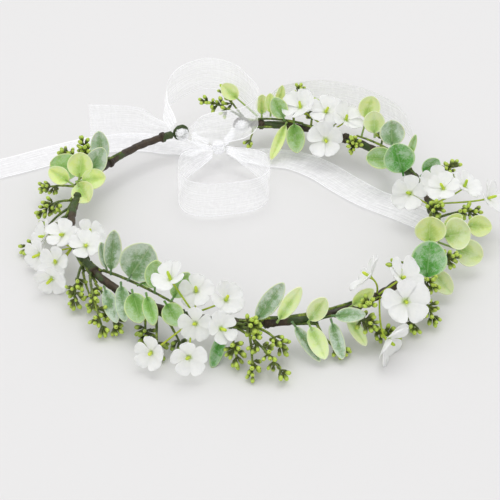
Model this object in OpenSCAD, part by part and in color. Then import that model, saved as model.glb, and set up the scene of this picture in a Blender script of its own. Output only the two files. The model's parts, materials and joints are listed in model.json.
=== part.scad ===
// Flower crown: a taped wire ring, open at the back, that carries sprays of artificial
// eucalyptus, berries and small blossoms, and is tied with a sheer ribbon bow.
// Millimetres. The origin is the centre of the ring on the surface that the crown lies on,
// +Z is up and the opening is at +Y.

/* [Head ring] */
// Diameter of the ring, measured to the middle of the wire
ring_d = 184; // [180:1:190]
// Height of the wire above the surface that the crown lies on
ring_h = 14; // [14:0.5:16]
// Thickness of the steel wire
wire_d = 1.6; // [1.2:0.1:2]
// Thickness over the floral tape
tape_d = 4.4; // [3.8:0.1:4.6]
// Thickness over a binding, where a spray is taped on
binding_d = 6; // [5.6:0.1:6.4]
// Angle that is left open at the back
gap_angle = 28; // [26:1:30]
// Diameter of each end eye, measured to the middle of its wire
eye_d = 7.2; // [6.8:0.1:7.6]

/* [Sprays] */
// Thickness of a leaf
leaf_t = 0.7; // [0.5:0.1:0.9]
// How deep a leaf is cupped, as a share of its width
leaf_cup = 0.16; // [0.05:0.01:0.25]
// Thickness of a moulded stem where it is taped on
stem_d = 1.6; // [1.2:0.1:1.8]
// Thickness of the short stalk of a bud
bud_stalk_d = 0.9; // [0.7:0.1:1.1]
// Diameter of a berry bud
bud_d = 3; // [2.6:0.1:3.2]
// Length from a branch to the middle of its bud
bud_reach = 4.4; // [4:0.1:5]
// Width across a blossom's petals
blossom_d = 15; // [12:0.5:16]
// Thickness of a petal
petal_t = 0.5; // [0.4:0.1:0.8]
// How far a petal's tip rises above its middle
petal_rise = 1.6; // [0.8:0.1:2.4]
// Thickness of a blossom's yellow centre
centre_d = 1.6; // [1.2:0.1:1.8]

/* [Ribbon] */
// Width of the sheer ribbon
ribbon_w = 20; // [18:0.5:20]
// Thickness of the ribbon's solid
ribbon_t = 0.4; // [0.3:0.05:0.5]
// Diameter of the knot on each eye
eye_knot_d = 7.6; // [7:0.1:8]
// Diameter of the bow's own knot
bow_knot_d = 8; // [7:0.1:8.4]

/* [Hidden] */
ring_r = ring_d / 2;
eye_step = asin((eye_d / 2 + tape_d / 4 + 0.15) / ring_r);
gap_left = 90 + gap_angle / 2;
gap_right = 90 - gap_angle / 2;
left_eye_at = gap_left - eye_step;
right_eye_at = gap_right + eye_step;
bow_knot_at = [0, 74, 11];
// How far inside the ring an eye's knot sits
knot_inset = 2;
floor_gap = 0.4;
// Gaps between pieces that are wound or threaded on each other
winding_gap = 0.1;
thread_gap = 0.2;
tube_sides = 6;
// Turn from one bud to the next, how far buds lean out, and their spacing along the branch
golden = 137.5;
bud_spread = 58;
bud_spacing = 0.13;
// How far the middle of a leaf sinks below its ends, as a share of its length
leaf_arch = 0.06;
leaf_tip_half = 0.35;
// A blossom's stalk starts this far from the wire, and meets the centre from behind
stalk_reach = 2.9;
stalk_bend = 5.5;
stalk_end = 1.7;
centre_back = 1.6;
centre_length = 4.2;
// Gap round a centre, and the depth and points of a blossom's outline
petal_hole_gap = 0.25;
petal_notch = 0.28;
petal_points = 20;
// Rings of the ribbon's skin between two of its places
ribbon_steps = 4;
binding_angle = 2;
binding_angles = [108, 132, 156, 181, 192, 199, 224, 234, 246, 259, 273, 287, 307, 321,
                  335, 347, 7, 27, 41, 52, 72];

// A place near the ring is [angle round the ring, distance outside the wire, height above it].
// A leaf is [its foot, its tip, its width, the [heading, lift] that its face looks to, and the
// share of its length that is stalk].
// A branch is [foot, bend, end, number of buds].
// A blossom is [middle, [heading, lift] of its face].

left_stem = [[133, 0, 3.4], [143, 3, 5], [152, 3, 3.4]];
left_leaves = [
    [[139, -2, 4], [137, 0, 20], 10, [255, 15], 0.1],
    [[144, 4, 4], [143, 22, 2], 14, [255, 60], 0.15],
    [[147, -1, 4], [144, -6, 16], 8, [255, 15], 0.1],
    [[150, 2, 5], [147, 2, 17], 10, [250, 45], 0.1],
    [[151, 1, 5], [151, -12, 9], 10, [230, 60], 0.1],
    [[152, 5, 4], [150, 17, 8], 7, [255, 40], 0.15],
    [[152, 2, 5], [160, -5, 6], 10, [240, 45], 0.1],
];
left_sprays = [
    [[136, 3.4, 0], [138, 8, 6], [138, 9, 13], 5],
    [[140, 3.4, -1], [139, 13, 2], [138.5, 19, 5], 4],
    [[148, 3.4, -2], [149, 14, -1], [149, 21, -4], 3],
];
side_sprays = [
    [[158, 3.4, 0], [160, 11, 2], [162, 15, -2], 5],
    [[162, 3.4, -1], [165, 10, -3], [167, 14, -8], 3],
    [[168, 3.4, 1], [170, 6, 2], [171, 7, -3], 4],
    [[165, 3.4, -3], [171, 15, -7], [173, 22, -10], 2],
];
left_blossoms = [
    [[176, 14, -1], [190, 40]],
    [[181, 18, -5], [215, 20]],
    [[183, 6, 7], [235, 60]],
    [[187, -6, 8], [300, 50]],
    [[189, 13, -1], [235, 35]],
    [[193, -1, 9], [270, 60]],
    [[192, 17, -6], [245, 5]],
];
left_blossom_root = 184;
front_left_sprays = [
    [[195, 3.4, 0], [199, 9, 1], [202, 14, -7], 5],
    [[196, 3.4, -2], [199, 5, -6], [204, 7, -9], 2],
    [[200.5, 3.4, 0.5], [209, 13, 3], [215, 17, -8], 6],
    [[203, 3.2, -2], [212, 5, -4], [217, 12, -9], 3],
];
front_left_stem = [[201, -3.4, 1], [215, -6, 5], [232, -3.6, 2]];
front_left_leaves = [
    [[205, -4, 3], [206, -5, 21], 7, [255, 10], 0.1],
    [[202.5, -4.2, 2], [199.5, -4, 15], 7, [345, 10], 0.1],
    [[213, -5, 5], [218, -8, 20], 18, [255, 38], 0.05],
    [[217, -6, 4], [224, -15, 9], 8, [215, 70], 0.1],
    [[218, 3.4, 0], [222, 11, -6], 11, [255, 30], 0.05],
    [[212, 3.4, 3], [213, 12, 3], 6, [215, 40], 0.1],
    [[206, 3.4, 2], [208, 13, 6], 5, [235, 20], 0.1],
    [[223, 3.4, 2], [227.5, 9, -3], 6, [205, 30], 0.05],
    [[223.5, -5, 5], [223.5, -7, 19], 9, [255, 15], 0.1],
    [[230, -4, 4], [233, -12, 14], 8, [255, 35], 0.1],
    [[229, 3.4, 1], [231, 12, 2], 6, [255, 40], 0.1],
];
dark_sprays = [
    [[223.5, 3.4, -3], [225, 7, -7], [226, 10, -9], 4],
    [[227.3, 3.2, -3], [230, 12, -5], [231.5, 17, -10], 4],
    [[231, 3.2, -3], [234.5, 7, -7], [236, 9, -10], 3],
];
front_left_blossoms = [
    [[231, 0, 19], [200, 65]],
    [[237, -8, 9], [255, 40]],
    [[240, 8, 3], [250, 30]],
    [[232, 25, -5], [235, 20]],
    [[241, 25, -3], [260, 20]],
    [[247, 9, 3], [290, 45]],
    [[247, -6, 8], [300, 50]],
];
front_left_blossom_root = 238;
front_sprays = [
    [[249, 3.4, -1], [250, 10, -1], [251, 15, -8], 4],
    [[251, 3.2, -1], [256, 13, 2], [261, 24, -8], 6],
    [[254, 3.4, -1], [255, 15, -6], [255, 22, -10], 3],
    [[257, 3.2, -1], [260, 9, 1], [262, 11, -5], 4],
    [[252, 3.4, 1], [253, 6, 5], [254.5, 7, 5], 3],
];
front_stem = [[258, 1.4, 3.8], [272, 7, 5], [292, 1.4, 3.8]];
front_leaves = [
    [[247, 4, -3], [246, 15, -9], 6, [255, 45], 0.1],
    [[256, 2, 3], [262, 0, 17], 9, [255, 45], 0.05],
    [[262, 4, 4], [267, 3, 17], 8, [255, 20], 0.05],
    [[266, 5, 2], [270, 15, -8], 7, [265, 40], 0.1],
    [[270, 7, 4], [273, 9, 14], 11, [255, 25], 0.05],
    [[270, 8, 2], [272, 17, -8], 10, [270, 30], 0.05],
    [[277, 7, 4], [283, 14, 6], 8, [240, 50], 0.05],
    [[276, 8, 2], [276, 20, -8], 8, [255, 50], 0.05],
    [[281, 6, 2], [282, 19, -5], 7, [255, 40], 0.1],
    [[283, 4, 4], [288, 7, 11], 7, [240, 45], 0.1],
];
front_right_sprays = [
    [[281, 3.4, 0], [283, 12, 3], [285, 14, 0], 4],
    [[285, 3.4, -2], [286, 14, -6], [290, 18, -9], 4],
    [[273, 3.2, -2], [274, 12, -8], [277, 14, -10], 2],
    [[287, 3.2, 1], [287, 10, 5], [286, 12, 8], 2],
];
front_right_blossoms = [
    [[294, 19, 8], [262, 35]],
    [[287, 24, -5], [300, -10]],
    [[290, 1, 15], [150, 30]],
    [[299, 8, 11], [310, 50]],
];
front_right_blossom_root = 294;
right_front_sprays = [
    [[309, 3.4, 0], [308, 10, 4], [307, 14, 3], 4],
    [[307.5, 3.2, -3], [305, 14, -2], [303, 21, -8], 5],
    [[305, 3.4, -1], [301, 12, -5], [298, 18, -9], 4],
    [[315, 3.2, 0], [318, 9, 3], [320, 13, 3], 4],
    [[314, -3.4, 0], [312, -6, 3], [309, -7, 4], 2],
];
right_stem = [[312, 1, 3.4], [325, 4, 5], [341, 1, 3.4]];
right_leaves = [
    [[313, 5, 4], [312, 8, 16], 17, [255, 40], 0],
    [[323, 1, 5], [325, 0, 16], 14, [255, 35], 0.05],
    [[327, 4, 5], [329, 18, 9], 13, [255, 50], 0.2],
    [[331, 5, 5], [334, 13, 12], 6, [255, 30], 0.1],
    [[337, 5, 2], [339, 28, 0], 10, [250, 50], 0.5],
    [[327, 5, 2], [329, 25, -5], 10, [255, 45], 0.4],
    [[315, 5, 1], [314, 19, -8], 8, [255, 45], 0.2],
];
right_sprays = [
    [[339, -2.4, 3], [338, -3, 8], [337, 0, 11], 4],
    [[343, 3.4, 0], [344, 12, 3], [345, 20, 1], 5],
    [[357, 3.2, 1], [359, 10, 6], [361, 16, 9], 5],
];
right_blossoms = [
    [[345, 4, 15], [235, 60]],
    [[352, 18, 8], [330, 60]],
    [[352, 3, 11], [250, 45]],
    [[346, 28, 8], [330, 35]],
    [[354, -10, 4], [235, 40]],
];
right_blossom_root = 350;
back_right_stem = [[9, 0, 3.4], [22, 3, 6], [37, 1, 3.4]];
back_right_leaves = [
    [[10, -4, 1], [13, -6, 15], 15, [255, 25], 0.05],
    [[17, -2, 4], [22, -15, 5], 9, [255, 60], 0.05],
    [[23, 4, 4], [26, 8, 16], 12, [255, 30], 0.1],
    [[31, 4, 6], [34, 9, 16], 9, [245, 45], 0.1],
    [[36, 4, 4], [38, 18, 20], 10, [250, 35], 0.4],
    [[14, 3, 4], [18, 12, 13], 4, [255, 20], 0.1],
    [[5, 3, 3], [5, 12, 10], 9, [255, 35], 0.1],
];
back_right_sprays = [
    [[28, 3.4, 0], [30, 9, 1], [31, 12, 4], 4],
    [[34, -3.4, 0], [35, -7, 2], [34, -9, 4], 4],
    [[55, 3.4, 0], [56, 10, 2], [56, 16, 5], 5],
    [[61, 3.2, 1], [62, 9, 6], [61, 14, 14], 4],
    [[48, 3.4, -1], [49, 12, -2], [49, 18, 1], 4],
];
back_right_blossoms = [
    [[46, -9, 1], [250, 35]],
    [[50, 4, 11], [240, 60]],
    [[42, 3, 10], [300, 60]],
    [[59, 4, 11], [220, 60]],
];
back_right_blossom_root = 47;
back_stem = [[57, -1, 3.4], [66, 1, 4.4], [74, 0, 3.4]];
back_leaves = [
    [[64, -1, 5], [67, 0, 15], 9, [255, 20], 0.05],
    [[60, -3, 4], [57, -13, -5], 9, [255, 35], 0.05],
    [[63, -3, 3], [65, -24, -3], 5, [255, 50], 0.05],
    [[72, 3, 4], [72, 9, 12], 6, [255, 30], 0.1],
    [[69, 3, 5], [69.5, 9, 14], 5, [255, 30], 0.1],
    [[67, 4, 5], [66, 13, 17], 5, [255, 30], 0.1],
    [[74, 2, 5], [85, 20, 17], 9, [255, 45], 0.5],
];
bow_sprays = [
    [[79, 3.4, 3], [83, 10, 6], [89, 13, 9], 5],
    [[77, 3.4, 0], [81, 15, 4], [83, 22, 9], 4],
    [[75, -3.2, -1], [75, -7, -1], [76, -12, -3], 1],
];

// A ribbon's place is [x, y, z, lean, share of its full width]. A lean of 0 stands the ribbon
// on its edge, and 90 lays it flat.
upper_loop_path = [
    [-14, 79, 20, 20, 0.3], [-7, 71, 25, 8, 0.8], [3, 66, 28, 0, 1], [14, 68, 28, 0, 1],
    [23, 78, 28, 0, 1], [26, 95, 28, 0, 1], [22, 116, 28, 0, 1], [8, 129, 28, 0, 1],
    [-8, 124, 28, 0, 1], [-20, 110, 28, 4, 1], [-24, 97, 25, 10, 0.7], [-22, 88, 20, 20, 0.3],
];
lower_loop_path = [
    [-4.5, 69, 11, 10, 0.3], [-14, 64, 11, 0, 0.7], [-25, 54, 12, 0, 1], [-30, 41, 12, 0, 1],
    [-28, 28, 12, 0, 1], [-19, 21, 12, 0, 1], [-5, 19, 12, 0, 1], [8, 21, 12, 0, 1],
    [16, 29, 12, 0, 1], [18, 43, 12, 0, 1], [12, 58, 11, 0, 0.7], [4.5, 69, 11, 10, 0.3],
];
left_tail_path = [
    [-4, 79.5, 8, 80, 0.3], [-8, 86, 3, 90, 0.6], [-20, 98, 0.9, 90, 1], [-38, 108, 0.6, 90, 1],
    [-60, 111, 0.6, 90, 1], [-84, 107, 0.6, 90, 1], [-108, 101, 0.6, 90, 1],
    [-132, 96, 0.6, 90, 1], [-158, 90, 0.6, 90, 1],
];
right_tail_path = [
    [5, 76, 7, 80, 0.3], [14, 75, 2.6, 90, 0.6], [28, 72, 0.8, 90, 1], [42, 65, 0.6, 90, 1],
    [53, 51, 0.6, 90, 1], [61, 34, 0.6, 90, 1], [70, 17, 0.6, 90, 1], [82, 2, 0.6, 90, 1],
    [92, -12, 0.6, 90, 1],
];
left_end_path = [
    [-22, 96, 13, 10, 0.3], [-29, 104, 12, 0, 0.7], [-39, 112, 12, 0, 1], [-51, 117, 12, 0, 1],
    [-64, 121, 12, 0, 1],
];
right_end_path = [
    [25, 93, 13, 5, 0.3], [34, 98, 15, 0, 0.5], [44, 101, 20, -10, 1], [58, 102, 22, -20, 1],
    [74, 98, 22, -20, 1], [88, 87, 22, -20, 1], [98, 72, 22, -20, 1], [103, 56, 21, -15, 1],
    [102, 42, 20, -10, 1],
];
left_strap_path = [
    [-12, 86, 13, 0, 0.3], [-9, 82, 12, 5, 0.35], [-5, 78, 11, 0, 0.25],
];
right_strap_path = [
    [12, 86, 13, 0, 0.3], [9, 82, 12, 5, 0.35], [5, 78, 11, 0, 0.25],
];

sage = [0.55, 0.66, 0.55];
lime = [0.66, 0.78, 0.38];
moss = [0.33, 0.42, 0.16];
bark = [0.30, 0.22, 0.14];
white = [0.96, 0.96, 0.97];
veil = [0.95, 0.94, 0.97, 0.6];

function at(p) = [(ring_r + p[1]) * cos(p[0]), (ring_r + p[1]) * sin(p[0]), ring_h + p[2]];
function heading(h) = [cos(h[0]) * cos(h[1]), sin(h[0]) * cos(h[1]), sin(h[1])];
function unit(v) = v / norm(v);
function square_to(v, d) = unit(v - (v * d) * d);
function bend(a, b, c, t) = (1 - t) * (1 - t) * a + 2 * t * (1 - t) * b + t * t * c;
function bend_way(a, b, c, t) = unit((1 - t) * (b - a) + t * (c - b));
function side_of(a, b, c) =
    let (n = cross(b - a, c - a))
    norm(n) > 0.05 ? unit(n) : square_to([0.3, 0.2, 1], unit(c - a));
function smooth(a, b, c, d, t) =
    0.5 * (2 * b + (c - a) * t + (2 * a - 5 * b + 4 * c - d) * t * t
        + (3 * b - a - 3 * c + d) * t * t * t);

// Closed skin over a row of rings that all have the same number of points. The row has flat
// ends, or with joined it runs round into its own start.
module skin(rings, joined = false) {
    n = len(rings[0]);
    total = len(rings) * n;
    last = total - n;
    sides = [
        for (i = [0 : len(rings) - (joined ? 1 : 2)], j = [0 : n - 1])
            let (
                a = i * n + j,
                b = i * n + (j + 1) % n,
                c = (b + n) % total,
                d = (a + n) % total
            )
            each [[a, c, b], [a, d, c]]
    ];
    caps = [for (j = [1 : n - 2]) each [[0, j, j + 1], [last, last + j + 1, last + j]]];
    polyhedron([for (ring = rings) each ring], joined ? sides : concat(sides, caps), convexity = 6);
}

// Tapering tube along a bend
module tube(a, b, c, d_start, d_end, steps = 5) {
    side = side_of(a, b, c);
    skin([
        for (i = [0 : steps])
            let (
                t = i / steps,
                way = bend_way(a, b, c, t),
                up = cross(side, way),
                r = (d_start + (d_end - d_start) * t) / 2
            )
            [for (j = [tube_sides : -1 : 1])
                bend(a, b, c, t) + r * (side * cos(360 * j / tube_sides) + up * sin(360 * j / tube_sides))]
    ]);
}

module stem(line) {
    color(moss) tube(at(line[0]), at(line[1]), at(line[2]), stem_d, stem_d * 0.7, 8);
}

// One cupped leaf, clear of the stem that its foot is on
module leaf(spec) {
    foot = at(spec[0]);
    way = unit(at(spec[1]) - foot);
    face = square_to(heading(spec[3]), way);
    side = cross(face, way);
    start = foot + way * stem_d;
    run = at(spec[1]) - start;
    stalk = spec[4];
    skin([
        for (t = [0, stalk, for (u = [0.12, 0.32, 0.55, 0.78, 0.93, 1]) stalk + (1 - stalk) * u])
            let (
                u = max(0, (t - stalk) / (1 - stalk)),
                half = max(leaf_tip_half, spec[2] / 2 * pow(sin(180 * pow(u, 0.9)), 0.62)),
                middle = start + run * t - face * norm(run) * leaf_arch * sin(180 * t),
                lift = face * half * 2 * leaf_cup,
                back = face * leaf_t
            )
            [
                middle + side * half + lift, middle, middle - side * half + lift,
                middle - side * half + lift - back, middle - back, middle + side * half + lift - back,
            ]
    ]);
}

module leaves(specs, tone) {
    color(tone) for (spec = specs) leaf(spec);
}

// Where bud i of a branch sits, and where its stalk leaves the branch
function bud_root(b, i) = bend(at(b[0]), at(b[1]), at(b[2]), 1 - bud_spacing * i);
function bud_middle(b, i) =
    let (
        way = bend_way(at(b[0]), at(b[1]), at(b[2]), 1),
        side = side_of(at(b[0]), at(b[1]), at(b[2])),
        up = cross(side, way),
        turn = golden * i + 40 * b[0][0],
        open = i == 0 ? 0 : bud_spread,
        p = bud_root(b, i) + bud_reach * (way * cos(open)
            + (side * cos(turn) + up * sin(turn)) * sin(open))
    )
    [p[0], p[1], max(p[2], bud_d / 2 + floor_gap)];

// Branches of one berry spray with the buds' stalks, moulded in one
module berry_stems(branches) {
    color(moss)
        for (b = branches) {
            tube(at(b[0]), at(b[1]), at(b[2]), stem_d * 0.9, bud_stalk_d);
            for (i = [0 : b[3] - 1])
                let (
                    a = bud_root(b, i),
                    c = bud_middle(b, i),
                    way = unit(c - a),
                    end = c - way * (bud_d / 2 + 0.05),
                    start = a - way * 0.1
                )
                tube(start, (start + end) / 2 + [0, 0, 0.3], end, bud_stalk_d * 0.8, bud_stalk_d * 0.7, 2);
        }
}

module berry_buds(branches) {
    color(lime)
        for (b = branches, i = [0 : b[3] - 1])
            translate(bud_middle(b, i)) sphere(d = bud_d, $fn = 24);
}

// Five round petals cut in one piece, with a hole for the centre
module petals(spec) {
    face = heading(spec[1]);
    side = square_to([0.01, 0.02, 1], face);
    up = cross(face, side);
    middle = at(spec[0]);
    skin([
        for (i = [0 : petal_points - 1])
            let (
                turn = 360 * i / petal_points,
                lobe = blossom_d / 2 * (1 - petal_notch + petal_notch * sin(90 * abs(cos(2.5 * turn)))),
                out = side * cos(turn) + up * sin(turn),
                r = centre_d / 2 + petal_hole_gap
            )
            [
                middle + out * lobe + face * petal_rise,
                middle + out * lobe + face * (petal_rise - petal_t),
                middle + out * r - face * petal_t, middle + out * r,
            ]
    ], joined = true);
}

module blossom_petals(specs) {
    color(white) for (spec = specs) petals(spec);
}

// Yellow centres, each with the stalk that leads back to the ring
module blossom_centres(specs, root_angle) {
    for (spec = specs) {
        face = heading(spec[1]);
        middle = at(spec[0]);
        reach = [spec[0][1], spec[0][2]] / norm([spec[0][1], spec[0][2]]) * stalk_reach;
        root = [root_angle, reach[0], reach[1]];
        color("gold")
            translate(middle)
                rotate([0, 90 - spec[1][1], spec[1][0]])
                    translate([0, 0, -centre_back])
                        cylinder(d = centre_d, h = centre_length, $fn = 24);
        color(lime)
            tube(at(root), middle - face * stalk_bend, middle - face * stalk_end, 1, 0.9, 4);
    }
}

// Ribbon along a row of places
module ribbon(path) {
    n = len(path) - 1;
    places = concat(
        [for (i = [0 : n - 1], k = [0 : ribbon_steps - 1])
            smooth(path[max(i - 1, 0)], path[i], path[i + 1], path[min(i + 2, n)], k / ribbon_steps)],
        [path[n]]
    );
    m = len(places) - 1;
    color(veil)
        skin([
            for (i = [0 : m])
                let (
                    p = [places[i][0], places[i][1], places[i][2]],
                    q = places[min(i + 1, m)] - places[max(i - 1, 0)],
                    way = unit([q[0], q[1], q[2]]),
                    flat = unit(cross([0, 0, 1], way)),
                    across = cos(places[i][3]) * cross(way, flat) + sin(places[i][3]) * flat,
                    out = cross(way, across) * ribbon_t / 2,
                    half = across * ribbon_w * places[i][4] / 2
                )
                [p + half + out, p - half + out, p - half - out, p + half - out]
        ]);
}

module ring_wire() {
    color("silver")
        rotate([0, 0, gap_left])
            rotate_extrude(angle = 360 - gap_angle, $fn = 180)
                translate([ring_r, 0]) circle(d = wire_d, $fn = 24);
}

// Hollow sleeve round part of the ring
module sleeve(from_angle, angle, outer, inner) {
    translate([0, 0, ring_h])
        rotate([0, 0, from_angle])
            rotate_extrude(angle = angle, $fn = 180)
                translate([ring_r, 0])
                    difference() {
                        circle(d = outer, $fn = 32);
                        circle(d = inner, $fn = 32);
                    }
}

module ring_tape() {
    color(bark) sleeve(gap_left, 360 - gap_angle, tape_d, wire_d + winding_gap);
}

module tape_bindings() {
    color(bark) for (a = binding_angles) sleeve(a - binding_angle / 2, binding_angle, binding_d, tape_d + winding_gap);
}

// Round eye that stands across the ring's end
module eye_shape(angle, thick) {
    rotate([0, 0, angle])
        translate([ring_r, 0, ring_h])
            rotate([0, 90, 0])
                rotate_extrude($fn = 48) translate([eye_d / 2, 0]) circle(d = thick, $fn = 24);
}

module left_eye() {
    color(bark) eye_shape(left_eye_at, tape_d / 2);
}

module right_eye() {
    color(bark) eye_shape(right_eye_at, tape_d / 2);
}

// Knot tied through an eye
module eye_knot(angle) {
    color(veil)
        difference() {
            rotate([0, 0, angle])
                translate([ring_r - knot_inset, 0, ring_h]) sphere(d = eye_knot_d, $fn = 48);
            eye_shape(angle, tape_d / 2 + thread_gap);
        }
}

module bow_knot() {
    color(veil) translate(bow_knot_at) sphere(d = bow_knot_d, $fn = 48);
}

translate([0, 0, ring_h]) ring_wire();
ring_tape();
tape_bindings();
left_eye();
right_eye();
stem(left_stem);  // left_eucalyptus_stem
leaves(left_leaves, lime);  // left_eucalyptus_leaves
stem(front_left_stem);  // front_left_eucalyptus_stem
leaves(front_left_leaves, sage);  // front_left_eucalyptus_leaves
stem(front_stem);  // front_eucalyptus_stem
leaves(front_leaves, lime);  // front_eucalyptus_leaves
stem(right_stem);  // right_eucalyptus_stem
leaves(right_leaves, lime);  // right_eucalyptus_leaves
stem(back_right_stem);  // back_right_eucalyptus_stem
leaves(back_right_leaves, sage);  // back_right_eucalyptus_leaves
stem(back_stem);  // back_eucalyptus_stem
leaves(back_leaves, sage);  // back_eucalyptus_leaves
berry_stems(left_sprays);  // left_berry_stems
berry_buds(left_sprays);  // left_berry_buds
berry_stems(side_sprays);  // side_berry_stems
berry_buds(side_sprays);  // side_berry_buds
berry_stems(front_left_sprays);  // front_left_berry_stems
berry_buds(front_left_sprays);  // front_left_berry_buds
berry_stems(dark_sprays);  // dark_berry_stems
berry_buds(dark_sprays);  // dark_berry_buds
berry_stems(front_sprays);  // front_berry_stems
berry_buds(front_sprays);  // front_berry_buds
berry_stems(front_right_sprays);  // front_right_berry_stems
berry_buds(front_right_sprays);  // front_right_berry_buds
berry_stems(right_front_sprays);  // right_front_berry_stems
berry_buds(right_front_sprays);  // right_front_berry_buds
berry_stems(right_sprays);  // right_berry_stems
berry_buds(right_sprays);  // right_berry_buds
berry_stems(back_right_sprays);  // back_right_berry_stems
berry_buds(back_right_sprays);  // back_right_berry_buds
berry_stems(bow_sprays);  // bow_berry_stems
berry_buds(bow_sprays);  // bow_berry_buds
blossom_petals(left_blossoms);  // left_blossom_petals
blossom_centres(left_blossoms, left_blossom_root);  // left_blossom_centres
blossom_petals(front_left_blossoms);  // front_left_blossom_petals
blossom_centres(front_left_blossoms, front_left_blossom_root);  // front_left_blossom_centres
blossom_petals(front_right_blossoms);  // front_right_blossom_petals
blossom_centres(front_right_blossoms, front_right_blossom_root);  // front_right_blossom_centres
blossom_petals(right_blossoms);  // right_blossom_petals
blossom_centres(right_blossoms, right_blossom_root);  // right_blossom_centres
blossom_petals(back_right_blossoms);  // back_right_blossom_petals
blossom_centres(back_right_blossoms, back_right_blossom_root);  // back_right_blossom_centres
eye_knot(left_eye_at);  // left_eye_knot
eye_knot(right_eye_at);  // right_eye_knot
ribbon(left_strap_path);  // left_strap
ribbon(right_strap_path);  // right_strap
bow_knot();
ribbon(upper_loop_path);  // upper_loop
ribbon(lower_loop_path);  // lower_loop
ribbon(left_tail_path);  // left_tail
ribbon(right_tail_path);  // right_tail
ribbon(left_end_path);  // left_short_end
ribbon(right_end_path);  // right_short_end
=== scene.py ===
import json
import math
import random

import bmesh
import bpy
import numpy as np
from mathutils import Matrix, Vector, noise

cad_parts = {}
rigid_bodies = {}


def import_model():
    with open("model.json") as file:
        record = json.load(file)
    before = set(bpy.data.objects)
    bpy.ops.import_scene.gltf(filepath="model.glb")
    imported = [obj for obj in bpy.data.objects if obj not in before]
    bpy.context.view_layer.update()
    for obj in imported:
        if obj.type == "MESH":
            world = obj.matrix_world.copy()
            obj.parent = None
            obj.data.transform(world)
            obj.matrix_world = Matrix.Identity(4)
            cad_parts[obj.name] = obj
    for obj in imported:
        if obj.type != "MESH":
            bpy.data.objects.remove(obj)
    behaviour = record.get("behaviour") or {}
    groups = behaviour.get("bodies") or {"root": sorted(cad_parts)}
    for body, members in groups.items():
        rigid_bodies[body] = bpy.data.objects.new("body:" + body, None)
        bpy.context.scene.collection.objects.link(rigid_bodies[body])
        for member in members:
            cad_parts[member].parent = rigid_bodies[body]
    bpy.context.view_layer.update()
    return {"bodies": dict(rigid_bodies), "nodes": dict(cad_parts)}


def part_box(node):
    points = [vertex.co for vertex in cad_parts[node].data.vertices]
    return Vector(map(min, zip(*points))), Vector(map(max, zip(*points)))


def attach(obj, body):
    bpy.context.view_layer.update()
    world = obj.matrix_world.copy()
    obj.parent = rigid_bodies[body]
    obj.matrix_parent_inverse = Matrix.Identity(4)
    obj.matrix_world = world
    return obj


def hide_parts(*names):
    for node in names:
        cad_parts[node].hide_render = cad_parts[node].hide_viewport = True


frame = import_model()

bl_info = {
    "name": "Flower Crown",
    "version": (1, 0, 0),
    "blender": (4, 5, 0),
    "location": "View3D > Sidebar > Crown",
    "description": "Dresses a packed flower crown with leaves, buds, blossoms, tape and sheer ribbon",
    "category": "Object",
}

MM = 0.001
WIRE_LOW, WIRE_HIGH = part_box("ring_wire")
RING_Z = (WIRE_LOW.z + WIRE_HIGH.z) / 2
RING_R = (WIRE_HIGH.x - WIRE_LOW.x - (WIRE_HIGH.z - WIRE_LOW.z)) / 2
NODES = frame["nodes"]
SPRAYS = [n[: -len("_leaves")] for n in sorted(NODES) if n.endswith("_eucalyptus_leaves")]
BERRIES = [n[: -len("_buds")] for n in sorted(NODES) if n.endswith("_berry_buds")]
BUNCHES = [n[: -len("_petals")] for n in sorted(NODES) if n.endswith("_blossom_petals")]

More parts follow.
